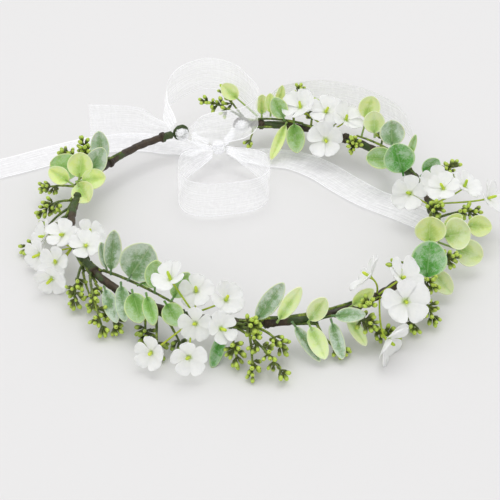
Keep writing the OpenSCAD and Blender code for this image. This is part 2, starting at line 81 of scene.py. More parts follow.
# Ribbon places as the design gives them, in millimetres: x, y, z, lean in degrees, share of the
# full width. A lean of 0 stands the ribbon on its edge, and 90 lays it flat.
RIBBONS = {
    "upper_loop": [
        (-14, 79, 20, 20, 0.3), (-7, 71, 25, 8, 0.8), (3, 66, 28, 0, 1), (14, 68, 28, 0, 1),
        (23, 78, 28, 0, 1), (26, 95, 28, 0, 1), (22, 116, 28, 0, 1), (8, 129, 28, 0, 1),
        (-8, 124, 28, 0, 1), (-20, 110, 28, 4, 1), (-24, 97, 25, 10, 0.7), (-22, 88, 20, 20, 0.3),
    ],
    "lower_loop": [
        (-4.5, 69, 11, 10, 0.3), (-14, 64, 11, 0, 0.7), (-25, 54, 12, 0, 1), (-30, 41, 12, 0, 1),
        (-28, 28, 12, 0, 1), (-19, 21, 12, 0, 1), (-5, 19, 12, 0, 1), (8, 21, 12, 0, 1),
        (16, 29, 12, 0, 1), (18, 43, 12, 0, 1), (12, 58, 11, 0, 0.7), (4.5, 69, 11, 10, 0.3),
    ],
    "left_tail": [
        (-4, 79.5, 8, 80, 0.3), (-8, 86, 3, 90, 0.6), (-20, 98, 0.9, 90, 1), (-38, 108, 0.6, 90, 1),
        (-60, 111, 0.6, 90, 1), (-84, 107, 0.6, 90, 1), (-108, 101, 0.6, 90, 1),
        (-132, 96, 0.6, 90, 1), (-158, 90, 0.6, 90, 1),
    ],
    "right_tail": [
        (5, 76, 7, 80, 0.3), (14, 75, 2.6, 90, 0.6), (28, 72, 0.8, 90, 1), (42, 65, 0.6, 90, 1),
        (53, 51, 0.6, 90, 1), (61, 34, 0.6, 90, 1), (70, 17, 0.6, 90, 1), (82, 2, 0.6, 90, 1),
        (92, -12, 0.6, 90, 1),
    ],
    "left_short_end": [
        (-22, 96, 13, 10, 0.3), (-29, 104, 12, 0, 0.7), (-39, 112, 12, 0, 1), (-51, 117, 12, 0, 1),
        (-64, 121, 12, 0, 1),
    ],
    "right_short_end": [
        (25, 93, 13, 5, 0.3), (34, 98, 15, 0, 0.5), (44, 101, 20, -10, 1), (58, 102, 22, -20, 1),
        (74, 98, 22, -20, 1), (88, 87, 22, -20, 1), (98, 72, 22, -20, 1), (103, 56, 21, -15, 1),
        (102, 42, 20, -10, 1),
    ],
    "left_strap": [(-12, 86, 13, 0, 0.3), (-9, 82, 12, 5, 0.35), (-5, 78, 11, 0, 0.25)],
    "right_strap": [(12, 86, 13, 0, 0.3), (9, 82, 12, 5, 0.35), (5, 78, 11, 0, 0.25)],
}
# How each stretch of ribbon is held, and what holds or carries it
RIBBON_HOLD = {
    "upper_loop": ("gathered", ["bow_wound_knot"]),
    "lower_loop": ("gathered", ["bow_wound_knot"]),
    "left_tail": ("laid", ["floor"]),
    "right_tail": ("laid", ["floor"]),
    "left_short_end": ("gathered", ["left_wound_knot"]),
    "right_short_end": ("gathered", ["right_wound_knot"]),
    "left_strap": ("stretched", ["left_wound_knot", "bow_wound_knot"]),
    "right_strap": ("stretched", ["right_wound_knot", "bow_wound_knot"]),
}

# Leaf prints: colour, how much white bloom it has, and the colour of its cut rim
PRINTS = {
    "sage": ((0.270, 0.430, 0.220), 0.80, (0.70, 0.80, 0.52)),
    "green": ((0.290, 0.530, 0.110), 0.50, (0.68, 0.80, 0.38)),
    "deep": ((0.100, 0.400, 0.035), 0.60, (0.50, 0.72, 0.36)),
    "lime": ((0.710, 0.830, 0.260), 0.35, (0.82, 0.89, 0.50)),
    "pale": ((0.730, 0.850, 0.360), 0.40, (0.84, 0.90, 0.58)),
}
# Each leaf: its print, how much longer and wider the limp cloth is than the design's stiff leaf,
# which is trimmed clear of its neighbours, and then a row as in the design: foot, tip, width in
# mm, heading and lift of its face, and the share of its length that is stalk. A place is its
# angle round the ring, then millimetres outside the wire and above it. The front left's outer
# leaves are limp enough to lie over the ring, and their rows differ from the design's.
LEAVES = {
    "left_eucalyptus": [
        ("sage", 1.15, 1.0, (139, -2, 4), (137, 0, 20), 10, (255, 15), 0.1),
        ("green", 1.05, 1.1, (144, 4, 4), (143, 22, 2), 14, (255, 60), 0.15),
        ("sage", 1.3, 1.4, (147, -1, 4), (144, -6, 16), 8, (255, 15), 0.1),
        ("lime", 1.1, 1.35, (150, 2, 5), (147, 2, 17), 10, (250, 45), 0.1),
        ("lime", 1.05, 1.15, (151, 1, 5), (151, -12, 9), 10, (230, 60), 0.1),
        ("lime", 1.1, 1.3, (152, 5, 4), (150, 17, 8), 7, (255, 40), 0.15),
        ("lime", 1.05, 1.2, (152, 2, 5), (160, -5, 6), 10, (240, 45), 0.1),
    ],
    "front_left_eucalyptus": [
        ("sage", 1.2, 1.2, (205, -4, 3), (206, -5, 21), 7, (255, 10), 0.1),
        ("sage", 1.0, 0.9, (202.5, -4.2, 2), (199.5, -4, 15), 7, (345, 10), 0.1),
        ("sage", 1.2, 1.05, (213, -5, 5), (218, -8, 20), 18, (255, 38), 0.05),
        ("green", 1.1, 1.2, (217, -6, 4), (224, -15, 9), 8, (215, 70), 0.1),
        ("green", 1.0, 1.0, (219, 2.6, 6), (225, 12, 0), 11, (255, 40), 0.05),
        ("sage", 1.0, 1.0, (214, 1.5, 6), (221, 14, 1), 7.5, (245, 40), 0.05),
        ("sage", 1.0, 1.0, (210, 6, 3), (218.5, 16, 0), 7, (240, 40), 0.05),
        ("green", 1.0, 1.0, (223.5, 1.5, 6.5), (229, 11.5, 1), 7, (230, 40), 0.05),
        ("green", 1.05, 1.15, (223.5, -5, 5), (223.5, -7, 19), 9, (255, 15), 0.1),
        ("green", 1.1, 1.1, (230, -4, 4), (233, -12, 14), 8, (255, 35), 0.1),
        ("green", 1.0, 1.0, (230, 2, 6), (235.5, 8, 1), 10, (255, 40), 0.05),
    ],
    "front_eucalyptus": [
        ("deep", 1.4, 1.0, (247, 4, -3), (246, 15, -9), 6, (255, 45), 0.1),
        ("sage", 1.25, 0.95, (256, 2, 3), (262, 0, 17), 9, (255, 45), 0.05),
        ("pale", 1.2, 0.9, (262, 4, 4), (267, 3, 17), 8, (255, 20), 0.05),
        ("sage", 1.35, 0.8, (266, 5, 2), (270, 15, -8), 7, (265, 40), 0.1),
        ("pale", 1.15, 0.8, (270, 7, 4), (273, 9, 14), 11, (255, 25), 0.05),
        ("pale", 1.2, 0.85, (270, 8, 2), (272, 17, -8), 10, (270, 30), 0.05),
        ("sage", 1.1, 0.85, (277, 7, 4), (283, 14, 6), 8, (240, 50), 0.05),
        ("sage", 1.15, 0.8, (276, 8, 2), (276, 20, -8), 8, (255, 50), 0.05),
        ("pale", 1.15, 0.85, (281, 6, 2), (282, 19, -5), 7, (255, 40), 0.1),
        ("lime", 1.15, 0.9, (283, 4, 4), (288, 7, 11), 7, (240, 45), 0.1),
    ],
    "right_eucalyptus": [
        ("deep", 1.0, 1.0, (309, 10, 3), (315.5, 5, 15), 17, (255, 40), 0),
        ("lime", 1.15, 1.1, (323, 1, 5), (325, 0, 16), 14, (255, 35), 0.05),
        ("pale", 1.05, 1.25, (327, 4, 5), (329, 18, 9), 13, (255, 50), 0.2),
        ("lime", 1.0, 1.2, (331, 5, 5), (334, 13, 12), 6, (255, 30), 0.1),
        ("lime", 1.05, 1.1, (337, 5, 2), (339, 28, 0), 10, (250, 50), 0.5),
        ("pale", 1.05, 1.35, (327, 5, 2), (329, 25, -5), 10, (255, 45), 0.4),
        ("pale", 1.05, 1.2, (315, 5, 1), (314, 19, -8), 8, (255, 45), 0.2),
    ],
    "back_right_eucalyptus": [
        ("deep", 1.12, 1.12, (10, -4, 1), (13, -6, 15), 15, (255, 25), 0.05),
        ("green", 1.05, 1.4, (17, -2, 4), (22, -15, 5), 9, (255, 60), 0.05),
        ("sage", 1.1, 1.15, (23, 4, 4), (26, 8, 16), 12, (255, 30), 0.1),
        ("pale", 1.1, 1.3, (31, 4, 6), (34, 9, 16), 9, (245, 45), 0.1),
        ("lime", 1.0, 1.2, (36, 4, 4), (38, 18, 20), 10, (250, 35), 0.4),
        ("green", 1.0, 1.0, (14, 3, 4), (18, 12, 13), 4, (255, 20), 0.1),
        ("deep", 1.05, 1.0, (5, 3, 3), (5, 12, 10), 9, (255, 35), 0.1),
    ],
    "back_eucalyptus": [
        ("green", 1.2, 1.1, (64, -1, 5), (67, 0, 15), 9, (255, 20), 0.05),
        ("green", 1.2, 1.15, (60, -3, 4), (57, -13, -5), 9, (255, 35), 0.05),
        ("lime", 1.05, 1.2, (63, -3, 3), (65, -24, -3), 5, (255, 50), 0.05),
        ("lime", 1.2, 1.2, (72, 3, 4), (72, 9, 12), 6, (255, 30), 0.1),
        ("lime", 1.1, 1.2, (69, 3, 5), (69.5, 9, 14), 5, (255, 30), 0.1),
        ("lime", 1.1, 1.1, (67, 4, 5), (66, 13, 17), 5, (255, 30), 0.1),
        ("lime", 0.8, 1.0, (74, 2, 5), (85, 20, 17), 9, (255, 45), 0.5),
    ],
}
# Corner points nearer than this are one point
WELD = 0.002 * MM
# Where each kind of piece starts its own run of random numbers
LEAF_SEED, BUD_SEED, BLOSSOM_SEED = 11, 31, 51
# The way that leaves are teased to face when the crown is laid out on a table
DISPLAY_WAY = np.array([-0.2, -0.8, 0.57])

# Length of ring that one binding of tape covers, and length that a branch's foot runs along it
BINDING_LENGTH = 3.4 * MM
FOOT_LENGTH = 11 * MM
# How far from the wire's middle a branch's foot and a blossom's stalk lie
FOOT_SEAT = 2.1 * MM
STALK_SEAT = 2.2 * MM
# A side bud, in millimetres: how far beside the main bud it sits, and how far below it. Then how
# far it splays, and the height below which there is no room for one.
SIDE_BUD_GAP = (1.9, 2.5)
SIDE_BUD_DROP = (0.4, 2.2)
SIDE_BUD_SPLAY = (0.6, 1.1)
SIDE_BUD_FLOOR = 1.6 * MM
# A ribbon's mesh: spacing of its rows and number of its columns. Then the pleats of a gather.
RIBBON_STEP = 1.3 * MM
RIBBON_COLUMNS = 40
RIBBON_PLEATS = 3.5

# Where the camera stands and looks, and its lens in millimetres
CAMERA_PLACE = (-0.15507, -0.57872, 0.40263)
CAMERA_AIM = (-0.00991, -0.03184, RING_Z)
CAMERA_LENS = 100.8
FLOOR_SIZE = 8
# Strength of the white room, then each lamp: name, place, width and power
ROOM_LIGHT = 0.80
LAMPS = (
    ("overhead_softbox", (0.15, 0.35, 1.5), 1.3, 7.0),
    ("front_fill", (-0.9, -1.2, 1.1), 1.0, 3.5),
)

# Size of each bunch's blossoms, as a share of the driving radius
BLOSSOM_SHARE = {
    "left_blossom": 0.86, "front_left_blossom": 0.86, "front_right_blossom": 1.18,
    "right_blossom": 0.98, "back_right_blossom": 1.05,
}


# ---- properties

class CrownSizes(bpy.types.PropertyGroup):
    """Sizes of the visible pieces"""

    leaf_thickness: bpy.props.FloatProperty(
        name="Leaf thickness", description="Thickness of a cloth leaf",
        default=0.45 * MM, unit="LENGTH")
    blossom_radius: bpy.props.FloatProperty(
        name="Blossom radius", description="Length of a petal from the blossom's middle",
        default=9.8 * MM, unit="LENGTH")
    petal_thickness: bpy.props.FloatProperty(
        name="Petal thickness", description="Thickness of a petal",
        default=0.3 * MM, unit="LENGTH")
    bud_radius: bpy.props.FloatProperty(
        name="Bud radius", description="Radius of a berry bud at its widest",
        default=1.12 * MM, unit="LENGTH")
    tape_radius: bpy.props.FloatProperty(
        name="Tape radius", description="Radius over the wound tape",
        default=1.80 * MM, unit="LENGTH")
    tape_pitch: bpy.props.FloatProperty(
        name="Tape pitch", description="Length of ring that one turn of tape covers",
        default=7 * MM, unit="LENGTH")
    ribbon_width: bpy.props.FloatProperty(
        name="Ribbon width", description="Width of the sheer ribbon laid flat",
        default=20 * MM, unit="LENGTH")


class CrownColours(bpy.types.PropertyGroup):
    """Colours of the finishes"""

    tape: bpy.props.FloatVectorProperty(
        name="Tape", description="Brown floral tape", subtype="COLOR", size=3,
        default=(0.028, 0.017, 0.008))
    stem: bpy.props.FloatVectorProperty(
        name="Stem", description="Moulded branches", subtype="COLOR", size=3,
        default=(0.085, 0.135, 0.018))
    # The bud colours are the lime of the tips, which also carries their painted highlight
    bud: bpy.props.FloatVectorProperty(
        name="Bud", description="Tip of a green bud", subtype="COLOR", size=3,
        default=(0.500, 0.660, 0.090))
    dark_bud: bpy.props.FloatVectorProperty(
        name="Dark bud", description="Tip of an olive bud", subtype="COLOR", size=3,
        default=(0.300, 0.420, 0.055))
    petal: bpy.props.FloatVectorProperty(
        name="Petal", description="White petals", subtype="COLOR", size=3,
        default=(0.965, 0.965, 0.955))
    centre: bpy.props.FloatVectorProperty(
        name="Centre", description="Yellow-green centres of the blossoms", subtype="COLOR", size=3,
        default=(0.640, 0.760, 0.060))
    ribbon: bpy.props.FloatVectorProperty(
        name="Ribbon", description="Threads of the sheer ribbon", subtype="COLOR", size=3,
        default=(0.985, 0.985, 1.000))
    floor: bpy.props.FloatVectorProperty(
        name="Floor", description="Plain pale floor", subtype="COLOR", size=3,
        default=(0.775, 0.768, 0.770))


# ---- small tools

def pick(*objects):
    """Selects only these objects and makes the first one active."""
    bpy.ops.object.select_all(action="DESELECT")
    for o in objects:
        o.select_set(True)
    bpy.context.view_layer.objects.active = objects[0]


def apply_modifiers(piece):
    pick(piece)
    for modifier in list(piece.modifiers):
        bpy.ops.object.modifier_apply(modifier=modifier.name)


def joined(pieces, name):
    """One object made of these, under this name."""
    pick(*pieces)
    if len(pieces) > 1:
        bpy.ops.object.join()
    piece = bpy.context.view_layer.objects.active
    piece.name = piece.data.name = name
    return piece


def points_of(piece):
    places = np.zeros(len(piece.data.vertices) * 3)
    piece.data.vertices.foreach_get("co", places)
    return places.reshape(-1, 3)


def set_points(piece, places):
    piece.data.vertices.foreach_set("co", np.asarray(places, float).ravel())
    piece.data.update()


def on_table(places, clearance=0.4 * MM):
    """The same points, with any that would sink into the table laid on it."""
    places = places.copy()
    places[:, 2] = np.maximum(places[:, 2], clearance)
    return places


def smoothed(piece, angle):
    pick(piece)
    bpy.ops.object.shade_smooth_by_angle(angle=math.radians(angle))


def thicken(piece, thickness):
    """Gives a sheet its thickness, half on each side."""
    solid = piece.modifiers.new("thickness", "SOLIDIFY")
    solid.thickness = thickness
    solid.offset = 0
    apply_modifiers(piece)


def weld(piece, gap, close=False):
    """Merges points nearer than the gap. With close, also fills holes and turns the faces out."""
    pick(piece)
    bpy.ops.object.mode_set(mode="EDIT")
    bpy.ops.mesh.select_all(action="SELECT")
    bpy.ops.mesh.remove_doubles(threshold=gap)
    if close:
        bpy.ops.mesh.select_all(action="SELECT")
        bpy.ops.mesh.fill_holes(sides=0)
        bpy.ops.mesh.select_all(action="SELECT")
        bpy.ops.mesh.normals_make_consistent(inside=False)
    bpy.ops.object.mode_set(mode="OBJECT")


def dress(piece, body, slot, material, *nodes, smooth=80):
    """Gives a finished piece its smooth faces, material and body, and hides the nodes it stands for. The
    slot is not used.
    """
    smoothed(piece, smooth)
    piece.data.materials.clear()
    piece.data.materials.append(material)
    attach(piece, body)
    if nodes:
        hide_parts(*nodes)


def loose_parts(node):
    """The corner points of each separate solid of a CAD node, as arrays in the frame."""
    bm = bmesh.new()
    bm.from_mesh(NODES[node].data)
    bmesh.ops.remove_doubles(bm, verts=bm.verts, dist=WELD)
    seen, parts = set(), []
    for start in bm.verts:
        if start in seen:
            continue
        seen.add(start)
        walk, part = [start], []
        while walk:
            v = walk.pop()
            part.append(tuple(v.co))
            for edge in v.link_edges:
                other = edge.other_vert(v)
                if other not in seen:
                    seen.add(other)
                    walk.append(other)
        parts.append(np.array(part))
    bm.free()
    return parts


def unit(v):
    return v / max(np.linalg.norm(v), 1e-12)


def lumps(places):
    """Smooth noise at each of these places."""
    return np.array([noise.noise(Vector(place)) for place in places])


def ring_angle(place):
    return math.degrees(math.atan2(place[1], place[0])) % 360


def round_ring(angle, out, up):
    """The point, or points, at an angle in radians round the ring, outside the wire and above it."""
    reach = RING_R + out
    return np.stack([reach * np.cos(angle), reach * np.sin(angle), RING_Z + up], axis=-1)


def off_ring(places):
    """How far a point, or each of many, is outside the wire and above it."""
    return np.array([np.hypot(places[..., 0], places[..., 1]) - RING_R, places[..., 2] - RING_Z])


def grid_blank(across, along, name):
    """A flat grid with x and y from 0 to 1 and a UV map that says the same."""
    bpy.ops.mesh.primitive_grid_add(x_subdivisions=across, y_subdivisions=along, size=1)
    blank = bpy.context.active_object
    blank.name = name
    set_points(blank, points_of(blank) + [0.5, 0.5, 0])
    uv = blank.data.uv_layers.active or blank.data.uv_layers.new(name="UVMap")
    uv.name = "UVMap"
    for loop in blank.data.loops:
        place = blank.data.vertices[loop.vertex_index].co
        uv.data[loop.index].uv = (place.x, place.y)
    return blank


def copy_of(blank, name):
    piece = bpy.data.objects.new(name, blank.data.copy())
    bpy.context.scene.collection.objects.link(piece)
    return piece


def paint(piece, name, value):
    """Fills a named attribute of the mesh with a colour, a number, or a number for each point."""
    count = len(piece.data.vertices)
    if isinstance(value, (list, tuple)):
        layer = piece.data.attributes.new(name, "FLOAT_COLOR", "POINT")
        layer.data.foreach_set("color", [*value, 1.0] * count)
    else:
        layer = piece.data.attributes.new(name, "FLOAT", "POINT")
        layer.data.foreach_set("value", np.full(count, value, float))


def fill_uv(piece, place):
    """Gives the whole mesh one place on the UV map."""
    layers = piece.data.uv_layers
    layer = layers.active or layers.new(name="UVMap")
    layer.name = "UVMap"
    for corner in layer.data:
        corner.uv = place


def rods(name, lines, sides=2):
    """Round rods as one mesh. A line is a list of (point, radius)."""
    curve = bpy.data.curves.new(name, "CURVE")
    curve.dimensions = "3D"
    curve.bevel_depth = MM
    curve.bevel_resolution = sides
    curve.use_fill_caps = True
    for line in lines:
        spline = curve.splines.new("POLY")
        spline.points.add(len(line) - 1)
        for point, (place, radius) in zip(spline.points, line):
            point.co = (*place, 1)
            point.radius = radius / MM
    piece = bpy.data.objects.new(name, curve)
    bpy.context.scene.collection.objects.link(piece)
    pick(piece)
    bpy.ops.object.convert(target="MESH")
    piece = bpy.context.view_layer.objects.active
    piece.name = name
    return piece


def bend(a, b, c, t):
    """The place that is a share t of the way along a curve from a to c, pulled towards b."""
    return (1 - t) ** 2 * a + 2 * t * (1 - t) * b + t * t * c


# ---- materials

class Finish:
    """A material under construction, with short words for its nodes and links."""

    def __init__(self, name):
        self.material = bpy.data.materials.new(name)
        self.material.use_nodes = True
        self.tree = self.material.node_tree
        self.shader = self.tree.nodes["Principled BSDF"]

    def add(self, kind, **values):
        node = self.tree.nodes.new(kind)
        for key, value in values.items():
            setattr(node, key, value)
        return node

    def number(self, target, value):
        if hasattr(value, "is_output"):
            self.tree.links.new(value, target)
        else:
            target.default_value = value

    def fill(self, node, **values):
        """Gives a node's inputs, by name, a constant or a link each."""
        for key, value in values.items():
            self.number(node.inputs[key.replace("_", " ")], value)
        return node

    def maths(self, operation, a, b=0.0):
        node = self.add("ShaderNodeMath", operation=operation)
        self.number(node.inputs[0], a)
        self.number(node.inputs[1], b)
        return node.outputs[0]

    def mix(self, share, a, b, blend="MIX"):
        node = self.add("ShaderNodeMix", data_type="RGBA", blend_type=blend)
        a, b = (value if hasattr(value, "is_output") else (*value, 1) for value in (a, b))
        self.fill(node, Factor=share, A=a, B=b)
        return node.outputs["Result"]

    def times(self, a, b):
        return self.maths("MULTIPLY", a, b)

    def plus(self, a, b):
        return self.maths("ADD", a, b)

    def tinted(self, colour, tint):
        return self.mix(1.0, colour, tint, "MULTIPLY")

    def ramp(self, source, low, high, start=0.0, end=1.0, smooth=True):
        node = self.add("ShaderNodeMapRange",
                        interpolation_type="SMOOTHSTEP" if smooth else "LINEAR")
        self.fill(node, Value=source, From_Min=low, From_Max=high, To_Min=start, To_Max=end)
        return node.outputs["Result"]

    def object_place(self):
        return self.add("ShaderNodeTexCoord").outputs["Object"]

    def uv(self):
        """The piece's own UV map, split in across and along."""
        uv = self.add("ShaderNodeUVMap", uv_map="UVMap").outputs["UV"]
        split = self.fill(self.add("ShaderNodeSeparateXYZ"), Vector=uv)
        return uv, split.outputs["X"], split.outputs["Y"]

    def off_middle(self, across):
        """How far a place is from the middle of the UV map's width, from 0 to 0.5."""
        return self.maths("ABSOLUTE", self.maths("SUBTRACT", across, 0.5))

    def noise(self, place, scale, detail, rough, stretch=None):
        if stretch is not None:
            mapping = self.fill(self.add("ShaderNodeMapping"), Scale=stretch, Vector=place)
            place = mapping.outputs["Vector"]
        node = self.fill(self.add("ShaderNodeTexNoise"), Vector=place, Scale=scale, Detail=detail,
                         Roughness=rough)
        return node.outputs["Fac"]

    def attribute(self, name):
        node = self.add("ShaderNodeAttribute", attribute_name=name)
        return node.outputs["Color"], node.outputs["Fac"]

    def bump(self, height, strength, distance):
        node = self.fill(self.add("ShaderNodeBump"), Strength=strength, Distance=distance,
                         Height=height)
        self.fill(self.shader, Normal=node.outputs["Normal"])

    def settle(self, colour, roughness, **constants):
        """The finished material. The constants are inputs that are the same all over it."""
        base = colour if hasattr(colour, "is_output") else (*colour, 1)
        self.fill(self.shader, Base_Color=base, Roughness=roughness, **constants)
        return self.material


def leaf_finish():
    """Printed cloth leaf: coloured from its base, bloomed with white, with a pale cut rim."""
    f = Finish("printed_leaf")
    _, across, along = f.uv()
    print_colour, _ = f.attribute("print_colour")
    rim_colour, _ = f.attribute("rim_colour")
    _, bloom = f.attribute("bloom")
    place = f.object_place()
    from_rib = f.off_middle(across)
    cloudy = f.noise(place, 260, 4, 0.6)
    speckle = f.noise(place, 1500, 3, 0.7)
    heart = f.plus(f.times(from_rib, 1.3), f.times(along, 0.55))
    dark = f.tinted(print_colour, (0.50, 0.68, 0.36))
    deep = f.mix(f.ramp(f.plus(heart, f.times(cloudy, 0.5)), 0.42, 0.95), dark, print_colour)
    slant = f.fill(f.add("ShaderNodeCombineXYZ"), X=f.times(from_rib, 1.4), Y=f.times(along, -1.6))
    veins = f.add("ShaderNodeTexWave", wave_type="BANDS", bands_direction="DIAGONAL")
    f.fill(veins, Vector=slant.outputs[0], Scale=3.2, Distortion=1.4)
    vein_line = f.ramp(veins.outputs["Fac"], 0.86, 1.0)
    rib_line = f.ramp(from_rib, 0.035, 0.008)
    lines = f.maths("MAXIMUM", f.times(vein_line, 0.35), rib_line)
    veined = f.mix(f.times(lines, 0.22), deep, rim_colour)
    clouds = f.plus(f.times(cloudy, 0.9), f.times(speckle, 0.5))
    frost = f.times(f.ramp(f.plus(clouds, f.times(heart, 0.30)), 0.72, 1.06), bloom)
    frosted = f.mix(f.times(frost, 0.80), veined, (0.72, 0.80, 0.74))
    side_rim = f.ramp(from_rib, 0.440, 0.485)
    tip_rim = f.ramp(along, 0.962, 0.985)
    rim = f.times(f.maths("MAXIMUM", side_rim, tip_rim), 0.85)
    colour = f.mix(rim, frosted, rim_colour)
    height = f.plus(f.times(speckle, 0.4), f.times(lines, -0.9))
    f.bump(height, 0.55, 0.25 * MM)
    return f.settle(colour, f.ramp(cloudy, 0.3, 0.7, 0.48, 0.66), Subsurface_Weight=0.12,
                    Subsurface_Scale=0.002, Sheen_Weight=0.12)


def stem_finish(colour):
    """Moulded branch, mottled from olive to lime."""
    f = Finish("moulded_branch")
    place = f.object_place()
    patches = f.noise(place, 180, 3, 0.6)
    grain = f.noise(place, 1800, 2, 0.6)
    mixed = f.mix(f.ramp(patches, 0.42, 0.66), colour, (0.33, 0.44, 0.05))
    dark = f.mix(f.ramp(grain, 0.35, 0.6), f.tinted(mixed, (0.45, 0.45, 0.4)), mixed)
    f.bump(grain, 0.4, 0.2 * MM)
    return f.settle(dark, 0.48, Subsurface_Weight=0.05, Subsurface_Scale=0.001)


def bud_finish(name, tip):
    """Moulded bud, dark at its neck and bright towards its tip, with a fine brown mouth. The dark neck
    is partly the stalk's olive and partly painted shade, and the bright tip is partly the bud's lime and
    partly a painted highlight.
    """
    f = Finish(name)
    _, along = f.attribute("along")
    place = f.object_place()
    patches = f.noise(place, 420, 2, 0.5)
    grain = f.noise(place, 2200, 2, 0.6)
    neck = tuple(0.16 * c for c in tip)
    # Painted highlight towards the tip and painted shade at the neck, mixed with random mottling
    highlight_and_mottle = f.plus(along, f.times(f.maths("SUBTRACT", patches, 0.5), 0.7))
    body = f.mix(f.ramp(highlight_and_mottle, 0.34, 0.78), neck, tip)
    mouth = f.mix(f.ramp(along, 0.945, 0.985), body, (0.10, 0.075, 0.02))
    f.bump(grain, 0.35, 0.15 * MM)
    return f.settle(mouth, 0.38, Subsurface_Weight=0.10, Subsurface_Scale=0.0012)


def petal_finish(colour):
    """White cut petal, a little green at its base, with fine lengthwise creases."""
    f = Finish("white_petal")
    uv, _, along = f.uv()
    creases = f.noise(uv, 3.0, 3, 0.6, stretch=(9, 1.2, 1))
    place = f.object_place()
    cloudy = f.noise(place, 300, 3, 0.6)
    base = f.mix(f.ramp(along, 0.20, 0.02), colour, (0.66, 0.78, 0.36))
    shade = f.mix(f.ramp(cloudy, 0.35, 0.75), base, f.tinted(base, (0.94, 0.945, 0.965)))
    f.bump(creases, 0.5, 0.35 * MM)
    return f.settle(shade, 0.58, Subsurface_Weight=0.35, Subsurface_Scale=0.003,
                    Subsurface_Radius=(1.0, 0.95, 0.95), Sheen_Weight=0.15)


def centre_finish(name, colour):
    """Flocked yellow-green centre or stalk."""
    f = Finish(name)
    place = f.object_place()
    grain = f.noise(place, 2400, 3, 0.7)
    patches = f.noise(place, 350, 2, 0.5)
    mixed = f.mix(f.ramp(patches, 0.35, 0.7), colour, f.tinted(colour, (0.62, 0.78, 0.5)))
    f.bump(grain, 0.6, 0.2 * MM)
    return f.settle(mixed, 0.62, Subsurface_Weight=0.1, Subsurface_Scale=0.001)


def tape_finish(colour):
    """Waxy creped paper tape, with green stems showing through between its turns, and a painted
    highlight on the raised edge of each turn.
    """
    f = Finish("floral_tape")
    uv, _, _ = f.uv()
    place = f.object_place()
    crepe = f.noise(uv, 1.0, 3, 0.7, stretch=(6, 900, 1))
    patches = f.noise(place, 150, 4, 0.6)
    _, edge = f.attribute("turn_edge_highlight")
    worn = f.mix(f.ramp(patches, 0.38, 0.62), colour, tuple(1.9 * c for c in colour))
    showing = f.ramp(f.noise(place, 70, 3, 0.55), 0.49, 0.55)
    green = f.mix(f.times(showing, 0.8), worn, (0.040, 0.085, 0.015))
    # A lighter brown on each turn's raised edge: a painted highlight
    painted_edge_highlight = f.mix(f.times(edge, 0.35), green, (0.13, 0.10, 0.05))
    f.bump(f.plus(crepe, f.times(patches, 0.5)), 0.7, 0.25 * MM)
    return f.settle(painted_edge_highlight, f.ramp(patches, 0.3, 0.7, 0.42, 0.62))


def wire_finish():
    """Dull drawn steel wire."""
    f = Finish("drawn_wire")
    grain = f.noise(f.object_place(), 900, 2, 0.6)
    f.bump(grain, 0.15, 0.1 * MM)
    colour = f.mix(f.ramp(grain, 0.3, 0.7), (0.42, 0.40, 0.37), (0.58, 0.56, 0.53))
    return f.settle(colour, f.ramp(grain, 0.2, 0.8, 0.3, 0.45), Metallic=1.0)


def ribbon_finish(name, colour, body, edge):
    """Sheer organza: fine threads both ways that light comes through, and dense woven edges. It glows
    faintly bluish-white, which is painted light.
    """
    f = Finish(name)
    uv, across, _ = f.uv()
    selvedge = f.ramp(f.off_middle(across), 0.466, 0.484)
    cloudy = f.noise(uv, 1.0, 3, 0.6, stretch=(2.2, 5, 1))
    lengthwise = f.noise(uv, 1.0, 2, 0.6, stretch=(42, 1.2, 1))
    warp, weft = (
        f.fill(f.add("ShaderNodeTexWave", wave_type="BANDS", bands_direction=way),
               Vector=uv, Scale=22.0).outputs["Fac"]
        for way in "XY")
    threads = f.maths("MAXIMUM", warp, weft)
    open_weave = f.plus(f.ramp(threads, 0.0, 1.0, body * 0.95, body * 1.02, smooth=False),
                        f.ramp(cloudy, 0.35, 0.75, -0.05, 0.05))
    streaked = f.plus(open_weave, f.ramp(lengthwise, 0.40, 0.72, -0.05, 0.10))
    alpha = f.fill(f.add("ShaderNodeMix", data_type="FLOAT"), Factor=selvedge, A=streaked, B=edge)
    f.fill(f.shader, Alpha=alpha.outputs["Result"])
    f.bump(lengthwise, 0.12, 0.1 * MM)
    # The faint bluish-white emission is painted light that makes the ribbon glow brighter than the floor
    return f.settle(colour, 0.5, Sheen_Weight=0.5, Sheen_Roughness=0.4,
                    Emission_Color=(0.93, 0.94, 1.0, 1), Emission_Strength=0.14)


def floor_finish(colour):
    """Plain pale floor."""
    f = Finish("pale_floor")
    return f.settle(colour, 0.75, Specular_IOR_Level=0.15)


# ---- leaves

def near_ring(place):
    """The frame's point for (angle round the ring, mm outside the wire, mm above it)."""
    angle, out, up = place
    return round_ring(math.radians(angle), out * MM, up * MM)


def faced(heading, lift):
    """The way that a face looks, from its compass heading and its lift, both in degrees."""
    h, v = math.radians(heading), math.radians(lift)
    return np.array([math.cos(h) * math.cos(v), math.sin(h) * math.cos(v), math.sin(v)])


def laid_leaf(longer, wider, foot, tip, width, face, stalk):
    """Foot, blade base, tip, side, face and width of a leaf, teased towards the display way."""
    foot, tip, face = near_ring(foot), near_ring(tip), faced(*face)
    show = unit(DISPLAY_WAY)
    base = foot + (tip - foot) * stalk
    run = tip - base
    length = np.linalg.norm(run) * longer
    way = unit(run - 0.6 * (run @ show) * show)
    face = face + 0.8 * show
    face = unit(face - (face @ way) * way)
    return foot, base, base + way * length, np.cross(face, way), face, width * wider * MM


